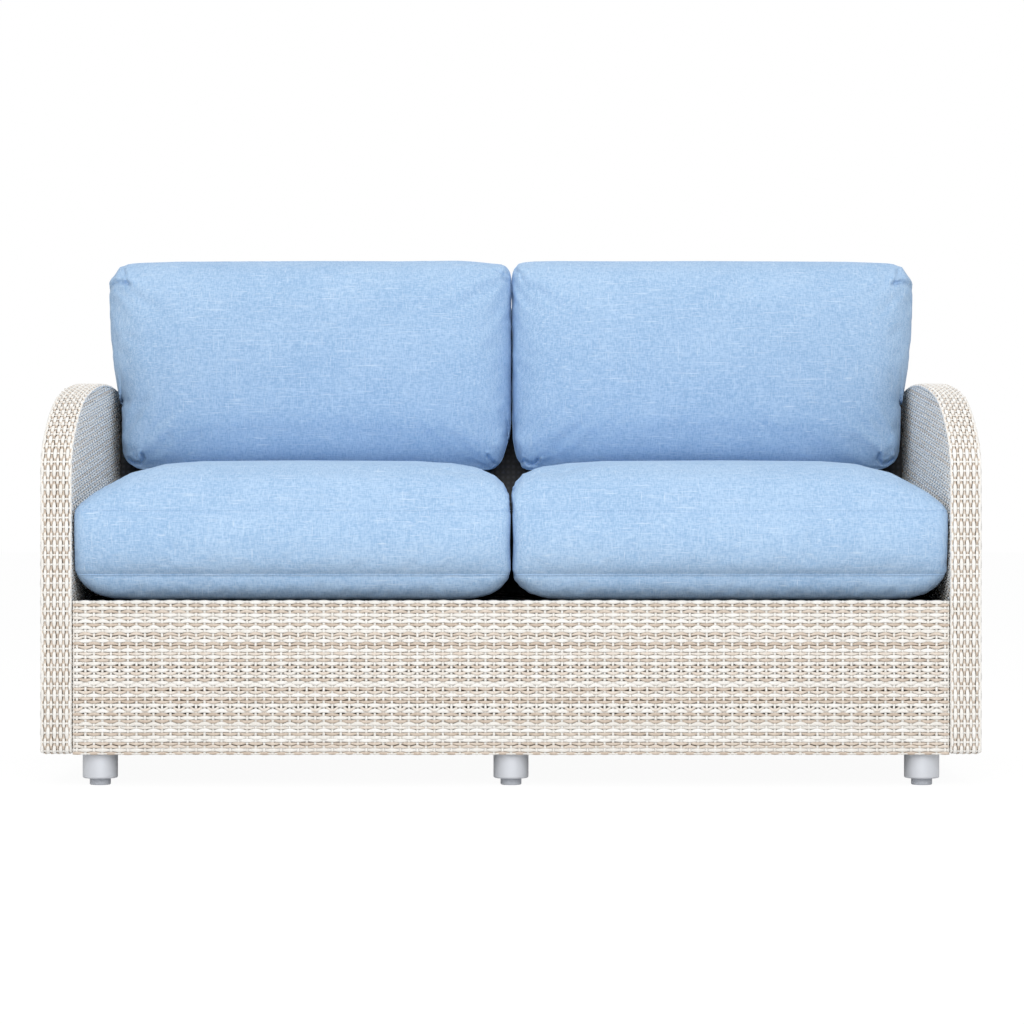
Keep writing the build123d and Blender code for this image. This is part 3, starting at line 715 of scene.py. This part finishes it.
SEAT_BASE, LOW_SEAM, HIGH_SEAM, CROWN = 0.3004, 0.3414, 0.4454, 0.084
SEAT_FRONT, SEAT_REAR = -0.384, 0.229
SEAT_MIDDLE_Y, SEAT_LIMIT = -0.0795, 0.533
SEAT_CAP, BACK_CAP = 0.006, 0.007  # how far the cloth may move
# at each of END_STEPS: the share of the crown and of the belly, and how far front and rear draw in
SEAT_RISES = (0.07, 0.28, 0.40, 0.57, 0.71, 0.86, 0.95, 0.99, 1.0)
SEAT_DROPS = (0.08, 0.22, 0.33, 0.58, 0.82, 0.97, 1.0, 1.0, 1.0)
SEAT_INSETS = (0.014, 0.008, 0.005, 0.002, 0.001, 0.0, 0.0, 0.0, 0.0)
# outlines from the front, as distances across and heights, or levels and distances
OUTER_TOP = ((0.0, 0.008, 0.022, 0.041, 0.078, 0.127, 0.190, 0.353),
             (0.4500, 0.4640, 0.4770, 0.4905, 0.5120, 0.5240, 0.5285, 0.5295))
INNER_TOPS = {"left": ((0.0, 0.0033, 0.0118, 0.0287, 0.0578, 0.100, 0.160, 0.354),
                       (0.4690, 0.4757, 0.4920, 0.5065, 0.5195, 0.5262, 0.5288, 0.5295)),
              "right": ((0.0, 0.0030, 0.0078, 0.0199, 0.0490, 0.100, 0.160, 0.354),
                        (0.4780, 0.4870, 0.4960, 0.5080, 0.5200, 0.5265, 0.5288, 0.5295))}
SIDE_LEVELS = (0.350, 0.393, 0.436, 0.446, 0.463, 0.476, 0.484, 0.493, 0.500)
# the gap between the seats lies a little off the middle, and the right one's shoulder leans over it
INNER_SIDES = {"left": (0.0003, 0.0016, 0.0003, 0.0003, 0.0017, 0.0032, 0.0068, 0.0120, 0.0190),
               "right": (0.0024, 0.0037, 0.0024, 0.0016, 0.0004, 0.0006, 0.0018, 0.0060, 0.0110)}
OUTER_SIDE = (OUTER_X, OUTER_X - 0.001) + (OUTER_X,) * 7
BOTTOM = (END_STEPS, [LOW_SEAM - (LOW_SEAM - SEAT_BASE) * drop for drop in SEAT_DROPS])


def seat_top(u, inner_top):
    """Height of the crown's outline from the front, at a distance u from the middle of the sofa."""
    return np.where(u > CUSHION_X, np.interp(OUTER_X - u, *OUTER_TOP), np.interp(u, *inner_top))


def seat_section(d):
    """A seat's side section: boxing, crown and belly."""
    rise, drop, inset = (np.interp(d, END_STEPS, row) for row in (SEAT_RISES, SEAT_DROPS, SEAT_INSETS))
    front, rear, proud = SEAT_FRONT + inset, SEAT_REAR - inset, 0.019 * rise
    rise, drop = rise * CROWN, drop * (LOW_SEAM - SEAT_BASE)
    shoulder, base, edge = HIGH_SEAM + 0.86 * rise, LOW_SEAM - drop, 0.060
    middle = (front + rear) / 2
    tucked = front + 0.015  # the lower seam sits back from the upper one
    return (arc((tucked, LOW_SEAM), (front - proud, 0.414), (front, HIGH_SEAM), 16)
            + arc((front, HIGH_SEAM), (front + 0.2 * edge, HIGH_SEAM + 0.52 * rise), (front + edge, shoulder), 12)
            + arc((front + edge, shoulder), (middle, HIGH_SEAM + rise), (rear - edge, shoulder), 40)
            + arc((rear - edge, shoulder), (rear - 0.2 * edge, HIGH_SEAM + 0.52 * rise), (rear, HIGH_SEAM), 12)
            + arc((rear, HIGH_SEAM), (rear, (LOW_SEAM + HIGH_SEAM) / 2), (rear, LOW_SEAM), 14)
            + arc((rear, LOW_SEAM), (rear - 0.33 * edge, LOW_SEAM - 0.55 * drop), (rear - edge, base), 10)
            + arc((rear - edge, base), (middle, base), (tucked + 0.5 * edge, base), 30)
            + arc((tucked + 0.5 * edge, base), (tucked + 0.013, LOW_SEAM - 0.58 * drop), (tucked, LOW_SEAM), 10))


def seat_sewn(p):
    """True at the two seams and on the flat underside, which the cloth doesn't leave."""
    sides = ((np.abs(p[:, 0] - np.sign(p[:, 0]) * CUSHION_X) > 0.345)
             | (p[:, 1] < SEAT_FRONT + 0.025) | (p[:, 1] > SEAT_REAR - 0.008))
    seams = (np.abs(p[:, 2] - HIGH_SEAM) < 0.006) | (np.abs(p[:, 2] - LOW_SEAM) < 0.006)
    return (sides & seams) | (p[:, 2] < SEAT_BASE + 0.004)


for side_name, side in (("left", -1), ("right", 1)):
    cover = shell("seat_cushion_cover_" + side_name, side, seat_section)
    ends = sorted((side * 0.0003, side * OUTER_X))

    def seat_room(p):
        """Keeps the cover within its own half of the deck."""
        return np.clip(p, (ends[0], SEAT_FRONT - 0.024, SEAT_BASE), (ends[1], SEAT_REAR, SEAT_LIMIT))

    stuff(cover, seat_sewn, SEAT_CAP, seat_room)
    p = points_of(cover.data)
    u, z = side * p[:, 0], p[:, 2]
    u = CUSHION_X + fit_outline(u - CUSHION_X, np.clip(z, 0.338, 0.500),
                                lambda z: np.interp(z, SIDE_LEVELS, INNER_SIDES[side_name]) - CUSHION_X,
                                lambda z: np.interp(z, SIDE_LEVELS, OUTER_SIDE) - CUSHION_X, 0.80)
    raised = HIGH_SEAM + fit_outline(z - HIGH_SEAM, u, lambda u: -1.0,
                                     lambda u: seat_top(u, INNER_TOPS[side_name]) - HIGH_SEAM, 0.1)
    lowered = LOW_SEAM + fit_outline(z - LOW_SEAM, u,
                                     lambda u: np.interp(END_STEPS[-1] - np.abs(u - CUSHION_X), *BOTTOM) - LOW_SEAM,
                                     lambda u: 1.0, 0.1)
    p = np.stack([side * u, p[:, 1], np.where(z > HIGH_SEAM, raised, np.where(z < LOW_SEAM, lowered, z))], 1)
    p = seat_room(p)
    # each seam draws the cloth in, along a line that fades out over 5 mm
    for level, depth in ((HIGH_SEAM, 0.0012), (LOW_SEAM, 0.0022)):
        near = np.exp(-((p[:, 2] - level) / 0.0045) ** 2)
        rim = (np.abs(p[:, 0] - side * CUSHION_X) > 0.30) | (p[:, 1] < -0.33) | (p[:, 1] > 0.18)
        inward = np.stack([side * CUSHION_X - p[:, 0], SEAT_MIDDLE_Y - p[:, 1], p[:, 2] * 0], 1)
        inward[:, 0] *= np.abs(inward[:, 0]) > 0.33
        inward[:, 1] *= np.abs(inward[:, 1]) > 0.28
        inward /= np.maximum(np.linalg.norm(inward, axis=1, keepdims=True), 1e-9)
        p += inward * (near * rim * depth)[:, None]
    put_points(cover.data, p)
    seams = [seam(f"seat_{which}_seam_{side_name}", cover, (side * CUSHION_X, SEAT_MIDDLE_Y, level),
                  (1, 0, 0), (0, 1, 0), 480) for which, level in (("upper", HIGH_SEAM), ("lower", LOW_SEAM))]
    for piece in [cover] + seams:
        piece.data.materials.append(canvas)
        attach(piece, "seat_" + side_name)
    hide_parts("seat_cushion_" + side_name)


# ---------------------------------------------------------------- back cushions
# Loose fibre-filled backs in the same canvas, softer than the seats: round edges,
# one seam round the middle, and each corner's spare cloth tucked and folded in.

BACK_BASE, BACK_TOP, BACK_THICK = 0.5176, 0.892, 0.172
BACK_RISE = BACK_TOP - BACK_BASE
COS, SIN = math.cos(RECLINE), math.sin(RECLINE)
BACK_HALF = BACK_RISE / COS / 2
BACK_MIDDLE_Z = BACK_BASE + BACK_RISE / 2
BACK_MIDDLE_Y = POST_Y + (BACK_MIDDLE_Z - DECK_Z) * LEAN - (BACK_THICK / 2 + 0.0004) / COS
# at each of END_STEPS: the share of the height and of the thickness
BACK_HEIGHTS = (0.80, 0.85, 0.885, 0.945, 0.975, 0.992, 0.997, 1.0, 1.0)
BACK_DEPTHS = (0.42, 0.49, 0.56, 0.69, 0.80, 0.90, 0.96, 0.99, 1.0)
EDGE_LEVELS = (0.545, 0.560, 0.575, 0.600, 0.640, 0.668, 0.700, 0.750, 0.800, 0.840, 0.856, 0.868)
OUTER_EDGE = (0.6920, 0.6938, 0.6942, 0.6945, 0.6955, 0.7010, 0.7085, 0.7145, 0.7180, 0.7190, 0.7210, 0.7140)
# in front the two cushions stand a slit apart, a little left of the middle, and behind it they press together
INNER_EDGES = {"left": (0.0125, 0.0088, 0.0066, 0.0046, 0.0038) + (0.0036,) * 6 + (0.0042,),
               "right": (0.0060, 0.0024, 0.0009) + (0.0003,) * 5 + (-0.0008, -0.0009, -0.0009, -0.0005)}
PRESSED = {"left": 0.0046, "right": -0.0023}
# height, reach and depth of the hollow below the notch
PITS = {"left": (0.8560, 0.0052, 0.0100), "right": (0.8550, 0.0044, 0.0050)}
TOP_REST = ((0.200, 0.354, 0.600, 0.660, 0.686, 0.703, 0.712, 0.7215),
            (0.8930, 0.8935, 0.8920, 0.8900, 0.8885, 0.8815, 0.8700, 0.8560))
TOP_EDGES = {"left": ((0.0020, 0.0036, 0.0056, 0.0100, 0.0150, 0.033, 0.067, 0.093) + TOP_REST[0],
                      (0.8630, 0.8690, 0.8765, 0.8830, 0.8868, 0.8888, 0.8922, 0.8938) + TOP_REST[1]),
             "right": ((-0.0013, 0.0002, 0.0040, 0.0080, 0.012, 0.0225, 0.043, 0.086) + TOP_REST[0],
                       (0.8660, 0.8735, 0.8812, 0.8855, 0.8890, 0.8910, 0.8926, 0.8933) + TOP_REST[1])}
BOTTOM_REST = ((0.060, 0.354, 0.640, 0.660, 0.6695, 0.6800, 0.6860, 0.6915, 0.6940),
               (BACK_BASE, BACK_BASE, BACK_BASE, 0.5190, 0.5213, 0.5280, 0.5340, 0.5440, 0.5560))
BOTTOM_EDGES = {"left": ((0.0095, 0.0142, 0.0190, 0.0248, 0.0310, 0.0400) + BOTTOM_REST[0],
                         (0.5600, 0.5440, 0.5325, 0.5242, 0.5200, 0.5178) + BOTTOM_REST[1]),
                "right": ((0.0020, 0.0060, 0.0110, 0.0190, 0.0300) + BOTTOM_REST[0],
                          (0.5600, 0.5450, 0.5335, 0.5215, 0.5178) + BOTTOM_REST[1])}


def back_section(d):
    """A back cushion's side section, reclined with the posts."""
    height, depth = (np.interp(d, END_STEPS, row) for row in (BACK_HEIGHTS, BACK_DEPTHS))
    tall, half = BACK_HALF * height, BACK_THICK / 2 * depth
    edge = tall - 0.046 * depth
    front, rear = -(half - 0.020 * depth), half - 0.008 * depth
    middle = (front + rear) / 2
    points = (arc((front, -edge), (-half, 0), (front, edge), 40)
              + arc((front, edge), (middle, tall), (rear, edge), 20)
              + arc((rear, edge), (half, 0), (rear, -edge), 36)
              + arc((rear, -edge), (middle, -tall), (front, -edge), 20))
    return [(BACK_MIDDLE_Y + a * COS + b * SIN, BACK_MIDDLE_Z - a * SIN + b * COS) for a, b in points]


def depth_of(y, z):
    """How far behind a back cushion's middle plane a point lies."""
    return (y - BACK_MIDDLE_Y) * COS - (z - BACK_MIDDLE_Z) * SIN


def back_sewn(p):
    """True on the seam round the middle of the edge and on the rear face that leans on the sling."""
    through = depth_of(p[:, 1], p[:, 2])
    return (np.abs(through) < 0.005) | (through > BACK_THICK / 2 - 0.004)


# Folds of the corner tucks on the front, as (distance from the middle of the sofa, height)
# runs in metres, with the depth, width and raised lip of each.
OUTER_TUCKS = [
    (((0.6920, 0.8760), (0.6890, 0.8640), (0.6840, 0.8540)), 0.0050, 0.0028, 0.0018),
    (((0.7180, 0.8440), (0.7080, 0.8520), (0.6950, 0.8530), (0.6800, 0.8490)), 0.0085, 0.0034, 0.0030),
    (((0.6790, 0.5370), (0.6700, 0.5305), (0.6600, 0.5290), (0.6530, 0.5370), (0.6540, 0.5450)),
     0.0120, 0.0030, 0.0022)]
TUCKS = {
    "left": OUTER_TUCKS + [
        (((0.0410, 0.5420), (0.0345, 0.5320), (0.0270, 0.5270), (0.0320, 0.5200)), 0.0090, 0.0030, 0.0020),
        (((0.0220, 0.8720), (0.0100, 0.8620), (0.0040, 0.8540)), 0.0060, 0.0034, 0.0020)],
    "right": OUTER_TUCKS + [
        (((0.0170, 0.5290), (0.0235, 0.5342), (0.0324, 0.5291), (0.0415, 0.5285), (0.0478, 0.5350)),
         0.0100, 0.0030, 0.0034),
        (((0.0090, 0.8760), (0.0160, 0.8690), (0.0185, 0.8600)), 0.0060, 0.0034, 0.0022)]}


def tuck(p, side, line, depth, width, lip):
    """Pushes the front of a cover in along a fold and raises the cloth on one side of it."""
    nearest, above = np.full(len(p), 1e9), np.zeros(len(p))
    flat_p = np.stack([side * p[:, 0], p[:, 2]], 1)
    for a, b in zip(line, line[1:]):
        a, b = np.array(a), np.array(b)
        share = np.clip((flat_p - a) @ (b - a) / ((b - a) @ (b - a)), 0, 1)
        off = flat_p - (a + share[:, None] * (b - a))
        distance = np.linalg.norm(off, axis=1)
        better = distance < nearest
        nearest[better] = distance[better]
        above[better] = ((b - a)[0] * off[:, 1] - (b - a)[1] * off[:, 0])[better]
    front = depth_of(p[:, 1], p[:, 2]) < 0.010
    push = depth * np.exp(-(nearest / width) ** 2)
    push -= lip * (above < 0) * np.exp(-((nearest - 2 * width) / (1.3 * width)) ** 2)
    p[:, 1] += push * front
    return p


def back_room(p):
    """Keeps a cover in front of the sling and above its seat cushion."""
    wall = POST_Y + (p[:, 2] - DECK_Z) * LEAN - 0.0004
    return np.stack([p[:, 0], np.minimum(p[:, 1], wall), np.maximum(p[:, 2], BACK_BASE)], 1)


for side_name, side in (("left", -1), ("right", 1)):
    cover = shell("back_cushion_cover_" + side_name, side, back_section)
    stuff(cover, back_sewn, BACK_CAP, back_room)
    mesh = cover.data
    work = bmesh.new()
    work.from_mesh(mesh)
    # finer mesh at the four tucked corners
    for u, z in ((0.696, 0.859), (0.664, 0.537), (0.030, 0.533), (0.012, 0.862)):
        near = {v for v in work.verts if abs(side * v.co.x - u) < 0.030 and abs(v.co.z - z) < 0.024 and v.co.y < 0.16}
        edges = [e for e in work.edges if e.verts[0] in near and e.verts[1] in near]
        bmesh.ops.subdivide_edges(work, edges=edges, cuts=2, use_grid_fill=True, smooth=0.3)
    work.to_mesh(mesh)
    work.free()
    mesh.polygons.foreach_set("use_smooth", np.ones(len(mesh.polygons), bool))
    p = points_of(mesh)
    u, z = side * p[:, 0], p[:, 2]
    for _ in range(2):
        u = CUSHION_X + fit_outline(u - CUSHION_X, np.clip(z, 0.545, 0.866),
                                    lambda z: np.interp(z, EDGE_LEVELS, INNER_EDGES[side_name]) - CUSHION_X,
                                    lambda z: np.interp(z, EDGE_LEVELS, OUTER_EDGE) - CUSHION_X)
        z = BACK_MIDDLE_Z + fit_outline(z - BACK_MIDDLE_Z, u,
                                        lambda u: np.interp(u, *BOTTOM_EDGES[side_name]) - BACK_MIDDLE_Z,
                                        lambda u: np.interp(u, *TOP_EDGES[side_name]) - BACK_MIDDLE_Z)
    through = depth_of(p[:, 1], z)
    height, reach, depth = PITS[side_name]
    near_slit = np.clip((0.030 - u) / 0.030, 0, 1)
    inside = np.clip((through + 0.048) / 0.030, 0, 1)
    u += near_slit * (depth * np.exp(-((z - height) / reach) ** 2) * (1 - inside) - PRESSED[side_name] * inside)
    p = np.stack([side * u, p[:, 1], z], 1)
    for line, depth, width, lip in TUCKS[side_name]:
        p = tuck(p, side, line, depth, width, lip)
    put_points(mesh, p)
    edge = seam("back_seam_" + side_name, cover, (side * 0.358, BACK_MIDDLE_Y, BACK_MIDDLE_Z),
                (1, 0, 0), (0, SIN, COS), 420)
    for piece in (cover, edge):
        piece.data.materials.append(canvas)
        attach(piece, "back_" + side_name)
    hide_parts("back_cushion_" + side_name)


# ---------------------------------------------------------------- the room
# A pale floor that meets a white surround, soft light from the front and above,
# and a long lens held level at the height of the seats, 5.6 m in front of them.

floor_mesh = bpy.data.meshes.new("floor")
floor_mesh.from_pydata([(-30, -30, 0), (30, -30, 0), (30, 30, 0), (-30, 30, 0)], [], [(0, 1, 2, 3)])
floor = bpy.data.objects.new("floor", floor_mesh)
bpy.context.scene.collection.objects.link(floor)
paper, tree = new_material("white_paper_floor")
ray = add(tree, "ShaderNodeLightPath")
matte = add(tree, "ShaderNodeBsdfDiffuse", {"Color": linear("#f4f4f4")})
# the camera sees the floor nearly white, and the sofa still casts its shadow there
glow = add(tree, "ShaderNodeEmission", {"Color": linear("#ffffff"), "Strength": 1.028})
seen = add(tree, "ShaderNodeMath", {0: ray.outputs["Is Camera Ray"], 1: 0.93}, operation="MULTIPLY")
blend = add(tree, "ShaderNodeMixShader", {0: seen.outputs[0], 1: matte.outputs[0], 2: glow.outputs[0]})
add(tree, "ShaderNodeOutputMaterial", {"Surface": blend.outputs[0]})
floor_mesh.materials.append(paper)

world = bpy.data.worlds.new("white_room")
bpy.context.scene.world = world
world.use_nodes = True
tree = world.node_tree
tree.nodes.clear()
ray = add(tree, "ShaderNodeLightPath")
direct = add(tree, "ShaderNodeMath", {0: ray.outputs["Is Camera Ray"], 1: ray.outputs["Is Glossy Ray"]},
             operation="MAXIMUM")
direct = add(tree, "ShaderNodeMath", {0: direct.outputs[0], 1: ray.outputs["Is Transmission Ray"]},
             operation="MAXIMUM")
level = add(tree, "ShaderNodeMapRange", {"Value": direct.outputs[0], "To Min": 0.50, "To Max": 1.0})
sky = add(tree, "ShaderNodeBackground", {"Color": linear("#ffffff"), "Strength": level.outputs["Result"]})
add(tree, "ShaderNodeOutputWorld", {"Surface": sky.outputs[0]})


def softbox(name, at, towards, size, watts):
    """A square area lamp turned to face a point."""
    lamp = bpy.data.lights.new(name, "AREA")
    lamp.shape = "SQUARE"
    lamp.size = size
    lamp.energy = watts
    made = bpy.data.objects.new(name, lamp)
    made.location = at
    made.rotation_euler = (Vector(towards) - Vector(at)).to_track_quat("-Z", "Y").to_euler()
    bpy.context.scene.collection.objects.link(made)


softbox("front_softbox", at=(0.0, -4.9, 2.9), towards=(0.0, 0.0, 0.45), size=3.4, watts=165.0)
softbox("top_softbox", at=(0.0, 0.3, 4.2), towards=(0.0, 0.0, 0.4), size=3.6, watts=46.0)

lens = bpy.data.cameras.new("camera")
lens.sensor_width = 36.0
lens.lens = 114.15
lens.shift_x = 0.001
lens.clip_end = 100.0
camera = bpy.data.objects.new("camera", lens)
camera.location = (0.0, -5.622, 0.443)
camera.rotation_euler = (math.radians(90.0), 0.0, 0.0)
bpy.context.scene.collection.objects.link(camera)
bpy.context.scene.camera = camera
bpy.context.scene.view_settings.view_transform = "Standard"
